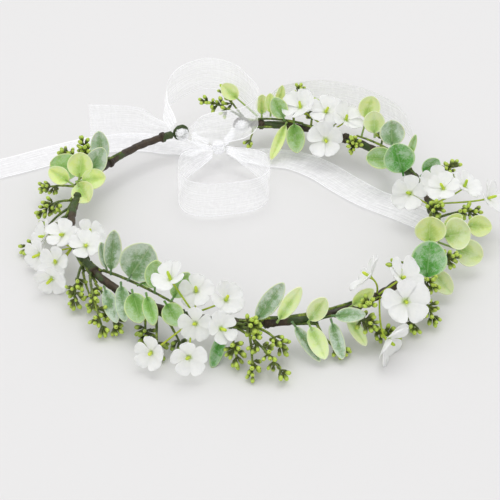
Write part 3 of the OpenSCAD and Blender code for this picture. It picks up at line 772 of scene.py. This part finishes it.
def shape_leaf(blank, leaf, rng):
    """A copy of the blank, shaped to one leaf: cupped, ribbed, arched and a little wavy."""
    _, base, tip, side, face, width = leaf
    piece = copy_of(blank, "leaf")
    grid = points_of(blank)
    u, t = grid[:, 0] * 2 - 1, grid[:, 1]
    run = tip - base
    length = np.linalg.norm(run)
    way = run / length
    half = width / 2 * np.sin(np.pi * np.clip(t, 0.004, 0.996) ** 0.92) ** 0.52
    skew = rng.uniform(-0.05, 0.05) * np.sin(np.pi * t)
    out = (u + skew * (1 - u * u)) * half
    cup = 0.32 * half * u * u
    arch = -0.06 * length * np.sin(np.pi * t)
    curl = rng.uniform(-0.05, 0.09) * length * np.clip(t - 0.55, 0, 1) ** 2 * 3
    rib = -0.22 * MM * np.exp(-(out / (0.6 * MM)) ** 2) * np.sin(np.pi * t)
    wave = 0.022 * width * np.sin(7 * t + rng.uniform(0, 6)) * u ** 2 * np.sign(u)
    up = cup + (arch + curl) + rib + wave
    set_points(piece, on_table(
        base + np.outer(t * length, way) + np.outer(out, side) + np.outer(up, face)))
    return piece


def print_cloth(piece, colour, rim, bloom):
    paint(piece, "print_colour", colour)
    paint(piece, "rim_colour", rim)
    paint(piece, "bloom", bloom)


def leaf_stalk(foot, base, tip):
    """A thin stalk from the foot of a leaf to a little way up its blade."""
    way = unit(base - foot) if np.linalg.norm(base - foot) > 0.2 * MM else unit(tip - foot)
    return rods("leaf_stalk", [[
        (foot - way * 1.4 * MM, 0.62 * MM), (foot, 0.55 * MM), (base, 0.48 * MM),
        (base + unit(tip - base) * 2 * MM, 0.30 * MM)]])


def make_leaves(spray, material, sizes, seed):
    rng = random.Random(seed)
    blank = grid_blank(12, 14, "leaf_blank")
    pieces, stalks = [], []
    for print_name, *row in LEAVES[spray]:
        leaf = laid_leaf(*row)
        colour, bloom, rim = PRINTS[print_name]
        shift = rng.uniform(0.9, 1.1)
        piece = shape_leaf(blank, leaf, rng)
        thicken(piece, sizes.leaf_thickness)
        print_cloth(piece, [c * shift for c in colour], rim, bloom)
        pieces.append(piece)
        stalk = leaf_stalk(*leaf[:3])
        fill_uv(stalk, (0.42, 0.3))
        print_cloth(stalk, [0.7 * c for c in colour], rim, 0.2)
        stalks.append(stalk)
    piece = joined(pieces + stalks, spray + "_cloth_leaves")
    bpy.data.objects.remove(blank)
    dress(piece, "crown", "eucalyptus_leaf", material, spray + "_leaves", smooth=50)


# ---- branches and buds

# A bud from its neck to its tip: share of its length, and radius there as a share of its widest
BUD_OUTLINE = (
    (0, 0), (0.04, 0.34), (0.15, 0.40), (0.32, 0.66), (0.50, 0.96), (0.68, 1), (0.84, 0.78),
    (0.95, 0.36), (1, 0))
# The same share of its length, and the height there in radii. Its mouth is a small dimple.
BUD_HEIGHT = ((0, -2.2), (0.04, -2.1), (0.95, 1.55), (1, 1.36))


def foot_line(part):
    """A line from a branch's root that runs on along the ring, under the tape's bindings."""
    root = part[np.argmin(np.hypot(*off_ring(part)))]
    start = math.atan2(root[1], root[0])
    offset = off_ring(root)
    near = unit(offset) * FOOT_SEAT
    along = np.array([-math.sin(start), math.cos(start), 0])
    sense = -1 if (part.mean(0) - root) @ along > 0 else 1
    line = []
    for share in np.linspace(0, 1, 7):
        turn = start + sense * share * FOOT_LENGTH / RING_R
        away = (1 - share) ** 2
        out, up = offset * away + near * (1 - away)
        line.append((round_ring(turn, out, up), (0.75 - 0.25 * share) * MM))
    return line


def make_branches(node, material, voxel):
    """Moulded branches: the CAD's tubes grown together and rounded."""
    name = node.replace("_stems", "_branches").replace("_stem", "_branch")
    feet = rods("feet", [foot_line(part) for part in loose_parts(node)])
    piece = joined([copy_of(NODES[node], name), feet], name)
    weld(piece, WELD)
    grown = piece.modifiers.new("grown", "REMESH")
    grown.mode = "VOXEL"
    grown.voxel_size = voxel
    rounded = piece.modifiers.new("rounded", "SMOOTH")
    rounded.factor = 0.5
    rounded.iterations = 2
    apply_modifiers(piece)
    places = points_of(piece)
    normals = np.zeros(len(places) * 3)
    piece.data.vertices.foreach_get("normal", normals)
    knobs = (0.06 + 0.10 * lumps(places * 700)) * MM
    set_points(piece, places + normals.reshape(-1, 3) * knobs[:, None])
    dress(piece, "crown", "moulded_stem", material, node)


def bud_blank(radius):
    """A club-shaped bud that points along z, with its widest part at the origin."""
    bpy.ops.mesh.primitive_uv_sphere_add(segments=10, ring_count=9, radius=1)
    blank = bpy.context.active_object
    places = points_of(blank)
    z = places[:, 2]
    flat = np.hypot(places[:, 0], places[:, 1])
    turn = np.arctan2(places[:, 1], places[:, 0])
    along = (z + 1) / 2
    profile = np.interp(along, *zip(*BUD_OUTLINE))
    height = np.interp(along, *zip(*BUD_HEIGHT))
    lobes = 1 + 0.05 * np.cos(3 * turn) * np.clip(along * 2 - 0.8, 0, 1)
    spread = profile * lobes * radius / np.where(flat > 1e-6, flat, 1)
    places[:, :2] *= spread[:, None]
    places[:, 2] = height * radius
    set_points(blank, places)
    paint(blank, "along", along)
    return blank


def make_buds(spray, material, slot, sizes, seed):
    rng = random.Random(seed)
    stems = np.vstack(loose_parts(spray + "_stems"))
    blank = bud_blank(sizes.bud_radius)
    pieces, stalks = [], []
    for part in loose_parts(spray + "_buds"):
        middle = (part.min(0) + part.max(0)) / 2
        gaps = np.linalg.norm(stems - middle, axis=1)
        stalk_end = stems[np.argsort(gaps)[:6]].mean(0)
        way = unit(middle - stalk_end)
        across = unit(np.cross(way, [0.3, 0.2, 1]))
        first = rng.uniform(0, 360)
        places = [(middle, way)]
        for turn in (first, first + rng.uniform(110, 150), first + rng.uniform(210, 250)):
            out = (across * math.cos(math.radians(turn))
                   + np.cross(way, across) * math.sin(math.radians(turn)))
            place = middle + (out * rng.uniform(*SIDE_BUD_GAP) - way * rng.uniform(*SIDE_BUD_DROP)) * MM
            if place[2] > SIDE_BUD_FLOOR:
                places.append((place, unit(way + out * rng.uniform(*SIDE_BUD_SPLAY))))
                stalks.append([(middle - way * 4.0 * MM, 0.42 * MM), (place - way * 1.2 * MM, 0.4 * MM)])
        for place, aim in places:
            pieces.append(turned_bud(blank, place, aim, rng))
    if stalks:
        twigs = rods("twigs", stalks)
        paint(twigs, "along", 0.1)
        fill_uv(twigs, (0.5, 0.5))
        pieces.append(twigs)
    piece = joined(pieces, spray + "_moulded_buds")
    bpy.data.objects.remove(blank)
    dress(piece, "crown", slot, material, spray + "_buds")


def turned_bud(blank, place, aim, rng):
    """A copy of the bud, a little larger or smaller, at its place."""
    size = rng.uniform(0.84, 1.06)
    turn = (Vector(aim).to_track_quat("Z", "Y").to_matrix()
            @ Matrix.Rotation(rng.uniform(0, 6.28), 3, "Z"))
    piece = copy_of(blank, "bud")
    local = points_of(piece) * [size * rng.uniform(0.92, 1.05), size, size * rng.uniform(0.95, 1.15)]
    set_points(piece, local @ np.array(turn).T + place)
    return piece


# ---- blossoms

# A blossom's centre: how far along it, and its radius there, in millimetres
PISTIL = ((-0.6, 0.5), (0.3, 0.66), (1.8, 0.78), (3.2, 0.76), (4.0, 0.54), (4.3, 0.18))
# A petal from its foot to its end: share of its length, and width there as a share of its widest
PETAL_OUTLINE = (
    (0, 0.18), (0.12, 0.28), (0.3, 0.56), (0.5, 0.86), (0.68, 1), (0.82, 0.94), (0.92, 0.72),
    (0.98, 0.40), (1, 0.10))
# How far from the blossom's middle a petal starts, as a share of its length
PETAL_START = 0.055
# How far a blossom's stalk and petals stand behind its middle
BLOSSOM_BACK = 0.3 * MM


def blossom_frames(node):
    """For each blossom of a node: middle, face and the way that its first petal points."""
    found = []
    for part in loose_parts(node):
        middle = part.mean(0)
        _, _, axes = np.linalg.svd(part - middle, full_matrices=False)
        face = axes[2]
        spread = part - middle
        reach = np.linalg.norm(spread - np.outer(spread @ face, face), axis=1)
        rim, heart = reach > 0.7 * reach.max(), reach < 0.4 * reach.max()
        if (spread[rim] @ face).mean() < (spread[heart] @ face).mean():
            face = -face
        longest = spread[np.argmax(reach)]
        first = unit(longest - (longest @ face) * face)
        found.append((part[heart].mean(0), face, first))
    found.sort(key=lambda b: ring_angle(b[0]))
    return found


def shape_petal(blank, middle, face, way, radius, rng, tilt):
    """One petal: narrow foot, broad round end, cupped, with a soft wave in its rim."""
    piece = copy_of(blank, "petal")
    grid = points_of(blank)
    u, t = grid[:, 0] * 2 - 1, grid[:, 1]
    side = np.cross(face, way)
    half = radius * 0.45 * rng.uniform(0.92, 1.06) * np.interp(t, *zip(*PETAL_OUTLINE))
    out = u * half
    rise = 0.16 * t + rng.uniform(0.10, 0.26) * t ** 2
    droop = 0.30 * np.clip(t - 0.62, 0, 1) ** 2 * rng.uniform(0.4, 2.2)
    cup = 0.20 * half * u ** 2 * (1 - 0.4 * t)
    wave = 0.030 * radius * np.sin(5 * u + rng.uniform(0, 6)) * t ** 2
    crease = 0.25 * MM * np.exp(-(out / (0.7 * MM)) ** 2) * (1 - t)
    up = radius * (rise - droop) + cup + out * tilt + wave - crease
    notch = -0.035 * radius * np.exp(-(u / 0.22) ** 2) * np.clip(t - 0.8, 0, 1) * 5
    reach = (PETAL_START + (1 - PETAL_START) * t) * radius + notch
    set_points(piece, on_table(
        middle + np.outer(reach, way) + np.outer(out, side) + np.outer(up, face)))
    return piece


def bunch_root(bunch):
    """The angle round the ring at which a bunch's stalks are bound to it."""
    points = np.vstack(loose_parts(bunch + "_centres"))
    gaps = np.hypot(*off_ring(points))
    roots = points[gaps < gaps.min() + 0.7 * MM]
    return math.atan2(roots[:, 1].mean(), roots[:, 0].mean())


def stalk_line(middle, face, root_angle):
    """A stalk that leaves the ring, bends, and meets the back of its blossom, where it flares."""
    root = round_ring(root_angle, *(unit(off_ring(middle)) * STALK_SEAT))
    knee, neck = middle - face * 5.5 * MM, middle - face * BLOSSOM_BACK
    line = []
    for share in np.linspace(0, 1, 13):
        flare = max(0, share - 0.82) / 0.18
        line.append((bend(root, knee, neck, share), (0.45 + 0.55 * flare) * MM))
    return line


def make_petals(blank, middle, face, first, radius, tilt, rng):
    """The five petals of one blossom, each raised and turned a little differently."""
    petals = []
    for i in range(5):
        turn = math.radians(72 * i + rng.uniform(-6, 6))
        way = first * math.cos(turn) + np.cross(face, first) * math.sin(turn)
        lift = rng.uniform(-0.10, 0.22)
        petals.append(shape_petal(
            blank, middle - face * BLOSSOM_BACK, unit(face - way * lift), unit(way + face * lift),
            radius * rng.uniform(0.93, 1.04), rng, tilt))
    return petals


def make_blossoms(bunch, petal_material, centre_material, stalk_material, sizes, seed):
    rng = random.Random(seed)
    blank = grid_blank(9, 12, "petal_blank")
    root_angle = bunch_root(bunch)
    petals, centres, stalks = [], [], []
    for middle, face, first in blossom_frames(bunch + "_petals"):
        radius = sizes.blossom_radius * BLOSSOM_SHARE[bunch] * rng.uniform(0.92, 1.06)
        tilt = rng.choice((-1, 1)) * rng.uniform(0.12, 0.2)
        petals += make_petals(blank, middle, face, first, radius, tilt, rng)
        lean = unit(face + 0.45 * unit(np.array([rng.uniform(-1, 1) for _ in range(3)])))
        centres.append([(middle + lean * reach * MM, thick * MM) for reach, thick in PISTIL])
        stalks.append(stalk_line(middle, face, root_angle))
    for petal in petals:
        thicken(petal, sizes.petal_thickness)
    cut = joined(petals, bunch + "_cut_petals")
    bpy.data.objects.remove(blank)
    dress(cut, "crown", "white_petal", petal_material, bunch + "_petals", smooth=50)
    centre = rods(bunch + "_yellow_centres", centres, 3)
    dress(centre, "crown", "lime_centre", centre_material, bunch + "_centres")
    stalk = rods(bunch + "_stalks", stalks)
    dress(stalk, "crown", "lime_centre", stalk_material)


# ---- wound ring

def wound_sleeve(name, start, sweep, radius, pitch, step, uneven, rows_per_mm, sides):
    """A sleeve of wound tape along part of the ring. Each turn overlaps the last by a step."""
    length = math.radians(sweep) * RING_R
    rows = max(8, int(length / MM * rows_per_mm))
    piece = grid_blank(sides, rows, name)
    grid = points_of(piece)
    around, along = grid[:, 0] * 2 * math.pi, grid[:, 1]
    run = along * length
    phase = (run / pitch + grid[:, 0]) % 1
    lip = np.where(phase < 0.86, phase / 0.86, (1 - phase) / 0.14)
    ends = np.clip(np.minimum(run, length - run) / (0.8 * MM), 0, 1) ** 0.5
    bumps = uneven * lumps(np.column_stack(
        [1.2 * np.cos(around), 1.2 * np.sin(around), run / (5 * MM)]))
    r = (radius + step * lip + bumps) * (0.55 + 0.45 * ends)
    angle = math.radians(start) + run / RING_R
    set_points(piece, round_ring(angle, r * np.cos(around), r * np.sin(around)))
    # Marks each turn's raised edge, where the tape's painted highlight goes
    paint(piece, "turn_edge_highlight", np.clip((phase - 0.72) / 0.14, 0, 1) * (phase < 0.9))
    weld(piece, 0.01 * MM, close=True)
    return piece


def wound_eye(node, name):
    """A round eye of wire, wound with tape."""
    low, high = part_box(node)
    middle = (low + high) / 2
    radial = Vector((middle.x, middle.y, 0)).normalized()
    thick, turns = 1.1 * MM, 9
    major = (high.z - low.z) / 2 - thick
    bpy.ops.mesh.primitive_torus_add(
        major_segments=64, minor_segments=16, major_radius=major, minor_radius=thick)
    piece = bpy.context.active_object
    piece.name = name
    places = points_of(piece)
    turn = np.arctan2(places[:, 1], places[:, 0])
    ring = np.column_stack([np.cos(turn), np.sin(turn), 0 * turn]) * major
    off = places - ring
    around = np.arctan2(off[:, 2], (off * ring / major).sum(1))
    phase = (turn * turns + around) / (2 * math.pi) % 1
    places = ring + off * (0.9 + 0.2 * phase)[:, None]
    turn_to = radial.to_track_quat("Z", "Y").to_matrix()
    set_points(piece, places @ np.array(turn_to).T + np.array(middle))
    # Marks each turn's raised edge, where the tape's painted highlight goes
    paint(piece, "turn_edge_highlight", np.clip((phase - 0.8) / 0.2, 0, 1))
    return piece


# ---- ribbon

def smooth_place(path, i, t):
    """The place that is a share t of the way from point i of a path to the next, on a smooth curve."""
    a, b = path[max(i - 1, 0)], path[i]
    c, d = path[min(i + 1, len(path) - 1)], path[min(i + 2, len(path) - 1)]
    return 0.5 * (2 * b + (c - a) * t + (2 * a - 5 * b + 4 * c - d) * t * t
                  + (3 * b - a - 3 * c + d) * t ** 3)


def ribbon_rows(node):
    """Evenly spaced places along a ribbon: middle, across, out and share of the full width."""
    path = np.array(RIBBONS[node], float)
    path[:, :3] *= MM
    steps = 24
    fine = np.array([smooth_place(path, i, k / steps)
                     for i in range(len(path) - 1) for k in range(steps)] + [path[-1]])
    gone = np.concatenate([[0], np.cumsum(np.linalg.norm(np.diff(fine[:, :3], axis=0), axis=1))])
    count = max(6, int(gone[-1] / RIBBON_STEP))
    even = np.linspace(0, gone[-1], count + 1)
    row = np.column_stack([np.interp(even, gone, fine[:, k]) for k in range(5)])
    way = np.gradient(row[:, :3], axis=0)
    way /= np.linalg.norm(way, axis=1)[:, None]
    flat = np.cross([0, 0, 1], way)
    flat /= np.linalg.norm(flat, axis=1)[:, None]
    lean = np.radians(row[:, 3])[:, None]
    across = np.cos(lean) * np.cross(way, flat) + np.sin(lean) * flat
    return row[:, :3], across, np.cross(way, across), np.clip(row[:, 4], 0.2, 1), gone[-1]


def make_ribbon(node, material, sizes, seed):
    """One stretch of sheer ribbon: gathered in pleats at its knots, softly rolling elsewhere."""
    middles, across, out, share, length = ribbon_rows(node)
    rows = len(middles) - 1
    piece = grid_blank(RIBBON_COLUMNS, rows, node + "_organza")
    grid = points_of(piece)
    k = np.rint(grid[:, 1] * rows).astype(int)
    u = grid[:, 0] * 2 - 1
    width = sizes.ribbon_width
    half = width / 2 * share[k]
    crest = width * share[k] / RIBBON_PLEATS
    depth = crest / (2 * math.pi) * np.sqrt(2 * (1 / share[k] ** 2 - 1)) * 0.8
    run = grid[:, 1] * length
    held, carried_by = RIBBON_HOLD[node]
    laid = held == "laid"
    drift, roll, pucker = (
        lumps(np.column_stack([u * crosswise + seed, run / (pitch * MM), 0 * u + layer]))
        for crosswise, pitch, layer in ((0, 16, 0), (1.1, 22, 7), (5.0, 34, 3)))
    pleat = depth * np.sin(2 * math.pi * RIBBON_PLEATS * (u / 2 + 0.5) + 3 * drift)
    soft = (0.35 if laid else 1.5) * MM * roll + (0.10 if laid else 0.28) * MM * pucker
    ease = np.clip((share[k] - 0.3) / 0.5, 0, 1)
    off = pleat + soft * ease
    if laid:
        off = off + 0.5 * MM
    flat = middles[k] + across[k] * (u * half)[:, None]
    places = flat + out[k] * off[:, None]
    if laid:
        lifted = flat + np.abs(off)[:, None] * [0, 0, 1]
        places = np.where((share[k] > 0.85)[:, None], lifted, places)
    set_points(piece, on_table(places, 0.35 * MM))
    for loop in piece.data.uv_layers["UVMap"].data:
        loop.uv = (loop.uv.x, loop.uv.y * length / width)
    dress(piece, node if node in frame["bodies"] else "crown", "sheer_ribbon", material, node)


def make_knot(node, name, material, seed):
    """A tight knot of ribbon: wound bands with pleats that run round it."""
    low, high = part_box(node)
    middle = np.array((low + high) / 2)
    radius = np.array(high - low) / 2
    bpy.ops.mesh.primitive_uv_sphere_add(segments=64, ring_count=40, radius=1)
    piece = bpy.context.active_object
    piece.name = name
    places = points_of(piece)
    uv = piece.data.uv_layers.active
    uv.name = "UVMap"
    turn = np.arctan2(places[:, 1], places[:, 0])
    lift = places[:, 2]
    wander = lumps(places * 1.6 + [seed, 0, 0])
    folds = 0.11 * np.sin(13 * lift + 1.6 * np.sin(turn + seed) + 5 * wander)
    cross = 0.10 * np.clip(np.sin(2.2 * (places[:, 0] + 0.8 * lift) + seed), 0, 1)
    shell = places * (0.90 + folds + cross)[:, None] * radius
    set_points(piece, shell + middle)
    dress(piece, "crown", "sheer_ribbon", material, node)


# ---- operators

class CROWN_OT_ring(bpy.types.Operator):
    """Winds the ring, its bindings and its end eyes with floral tape"""

    bl_idname = "crown.ring"
    bl_label = "Wound ring"

    def execute(self, context):
        sizes, colours = context.scene.crown_sizes, context.scene.crown_colours
        tape = tape_finish(tuple(colours.tape))
        NODES["ring_wire"].data.materials.clear()
        NODES["ring_wire"].data.materials.append(wire_finish())
        parts = np.vstack(loose_parts("ring_tape"))
        angles = (np.degrees(np.arctan2(parts[:, 1], parts[:, 0])) - 90) % 360
        start, end = angles.min(), angles.max()
        ring = wound_sleeve(
            "wound_tape", start + 90, end - start, radius=sizes.tape_radius,
            pitch=sizes.tape_pitch, step=0.34 * MM, uneven=0.36 * MM, rows_per_mm=1.1, sides=26)
        dress(ring, "crown", "floral_tape", tape, "ring_tape", smooth=55)
        sweep = math.degrees(BINDING_LENGTH / RING_R)
        bands = joined([
            wound_sleeve(
                f"binding_{i}", ring_angle(part.mean(0)) - sweep / 2, sweep, radius=2.62 * MM,
                pitch=1.15 * MM, step=0.26 * MM, uneven=0.2 * MM, rows_per_mm=5, sides=22)
            for i, part in enumerate(loose_parts("tape_bindings"))], "wound_bindings")
        dress(bands, "crown", "floral_tape", tape, "tape_bindings", smooth=55)
        for side in ("left", "right"):
            eye = wound_eye(side + "_eye", side + "_wound_eye")
            dress(eye, "crown", "floral_tape", tape, side + "_eye", smooth=60)
        return {"FINISHED"}


class CROWN_OT_branches(bpy.types.Operator):
    """Grows the moulded branches of every spray"""

    bl_idname = "crown.branches"
    bl_label = "Branches"

    def execute(self, context):
        colours = context.scene.crown_colours
        material = stem_finish(tuple(colours.stem))
        voxel = 0.24 * MM
        for spray in SPRAYS:
            make_branches(spray + "_stem", material, voxel)
        for spray in BERRIES:
            make_branches(spray + "_stems", material, voxel)
        return {"FINISHED"}


class CROWN_OT_leaves(bpy.types.Operator):
    """Cuts, prints and cups the cloth leaves"""

    bl_idname = "crown.leaves"
    bl_label = "Eucalyptus leaves"

    def execute(self, context):
        material = leaf_finish()
        for i, spray in enumerate(SPRAYS):
            make_leaves(spray, material, context.scene.crown_sizes, LEAF_SEED + i)
        return {"FINISHED"}


class CROWN_OT_buds(bpy.types.Operator):
    """Moulds the buds of every berry spray"""

    bl_idname = "crown.buds"
    bl_label = "Berry buds"

    def execute(self, context):
        sizes, colours = context.scene.crown_sizes, context.scene.crown_colours
        green = bud_finish("green_bud", tuple(colours.bud))
        olive = bud_finish("olive_bud", tuple(colours.dark_bud))
        for i, spray in enumerate(BERRIES):
            dark = spray == "dark_berry"
            make_buds(spray, olive if dark else green, "olive_bud" if dark else "green_bud",
                      sizes, BUD_SEED + i)
        return {"FINISHED"}


class CROWN_OT_blossoms(bpy.types.Operator):
    """Shapes the white petals, yellow centres and stalks of the blossoms"""

    bl_idname = "crown.blossoms"
    bl_label = "Blossoms"

    def execute(self, context):
        sizes, colours = context.scene.crown_sizes, context.scene.crown_colours
        petal = petal_finish(tuple(colours.petal))
        centre = centre_finish("flocked_centre", tuple(colours.centre))
        stalk = centre_finish("lime_stalk", tuple(0.8 * c for c in colours.centre))
        for i, bunch in enumerate(BUNCHES):
            make_blossoms(bunch, petal, centre, stalk, sizes, BLOSSOM_SEED + i)
        return {"FINISHED"}


class CROWN_OT_ribbons(bpy.types.Operator):
    """Weaves the sheer ribbon: loops, tails, ends, straps and knots"""

    bl_idname = "crown.ribbons"
    bl_label = "Sheer ribbon"

    def execute(self, context):
        sizes, colours = context.scene.crown_sizes, context.scene.crown_colours
        sheer = ribbon_finish("sheer_organza", tuple(colours.ribbon), 0.47, 0.94)
        # The knots' threads are a darker copy of the ribbon's colour, painted shade of the bunched
        # folds; their denser weave is the knots' own
        packed = ribbon_finish("knotted_organza", tuple(0.93 * c for c in colours.ribbon), 0.66, 0.80)
        for i, node in enumerate(RIBBONS):
            make_ribbon(node, sheer, sizes, 2.7 * i)
        make_knot("bow_knot", "bow_wound_knot", packed, 0.4)
        make_knot("left_eye_knot", "left_wound_knot", packed, 2.1)
        make_knot("right_eye_knot", "right_wound_knot", packed, 4.4)
        return {"FINISHED"}


class CROWN_OT_stage(bpy.types.Operator):
    """Lays the plain floor and sets the lamps and the camera"""

    bl_idname = "crown.stage"
    bl_label = "Stage"

    def execute(self, context):
        scene = context.scene
        bpy.ops.mesh.primitive_plane_add(size=FLOOR_SIZE)
        floor = context.active_object
        floor.name = "floor"
        floor.data.materials.append(floor_finish(tuple(scene.crown_colours.floor)))
        world = bpy.data.worlds.new("studio")
        world.use_nodes = True
        sky = world.node_tree.nodes["Background"].inputs
        sky["Color"].default_value = (1, 1, 1, 1)
        sky["Strength"].default_value = ROOM_LIGHT
        scene.world = world
        for lamp in LAMPS:
            self.lamp(*lamp)
        camera_data = bpy.data.cameras.new("camera")
        camera = bpy.data.objects.new("camera", camera_data)
        scene.collection.objects.link(camera)
        camera.location = CAMERA_PLACE
        aim = Vector(CAMERA_AIM) - camera.location
        camera.rotation_euler = aim.to_track_quat("-Z", "Y").to_euler()
        camera_data.sensor_width = 36
        camera_data.lens = CAMERA_LENS
        scene.camera = camera
        scene.view_settings.view_transform = "Standard"
        return {"FINISHED"}

    def lamp(self, name, place, size, power):
        data = bpy.data.lights.new(name, "AREA")
        data.shape = "DISK"
        data.size = size
        data.energy = power
        lamp = bpy.data.objects.new(name, data)
        bpy.context.scene.collection.objects.link(lamp)
        lamp.location = place
        lamp.rotation_euler = (-Vector(place)).to_track_quat("-Z", "Y").to_euler()


class CROWN_PT_panel(bpy.types.Panel):
    """Lists the crown's operators, sizes and colours"""

    bl_idname = "CROWN_PT_panel"
    bl_label = "Flower crown"
    bl_space_type = "VIEW_3D"
    bl_region_type = "UI"
    bl_category = "Crown"

    def draw(self, context):
        for operator in OPERATORS:
            self.layout.operator(operator.bl_idname)
        for group in (context.scene.crown_sizes, context.scene.crown_colours):
            for name in group.bl_rna.properties.keys():
                if name not in ("rna_type", "name"):
                    self.layout.prop(group, name)


OPERATORS = (
    CROWN_OT_stage, CROWN_OT_ring, CROWN_OT_branches, CROWN_OT_leaves, CROWN_OT_buds,
    CROWN_OT_blossoms, CROWN_OT_ribbons,
)
CLASSES = (CrownSizes, CrownColours, *OPERATORS, CROWN_PT_panel)


def register():
    for item in CLASSES:
        bpy.utils.register_class(item)
    bpy.types.Scene.crown_sizes = bpy.props.PointerProperty(type=CrownSizes)
    bpy.types.Scene.crown_colours = bpy.props.PointerProperty(type=CrownColours)


def unregister():
    del bpy.types.Scene.crown_sizes
    del bpy.types.Scene.crown_colours
    for item in reversed(CLASSES):
        bpy.utils.unregister_class(item)


def main():
    register()
    bpy.ops.crown.stage()
    bpy.ops.crown.ring()
    bpy.ops.crown.branches()
    bpy.ops.crown.leaves()
    bpy.ops.crown.buds()
    bpy.ops.crown.blossoms()
    bpy.ops.crown.ribbons()


if __name__ == "__main__":
    main()
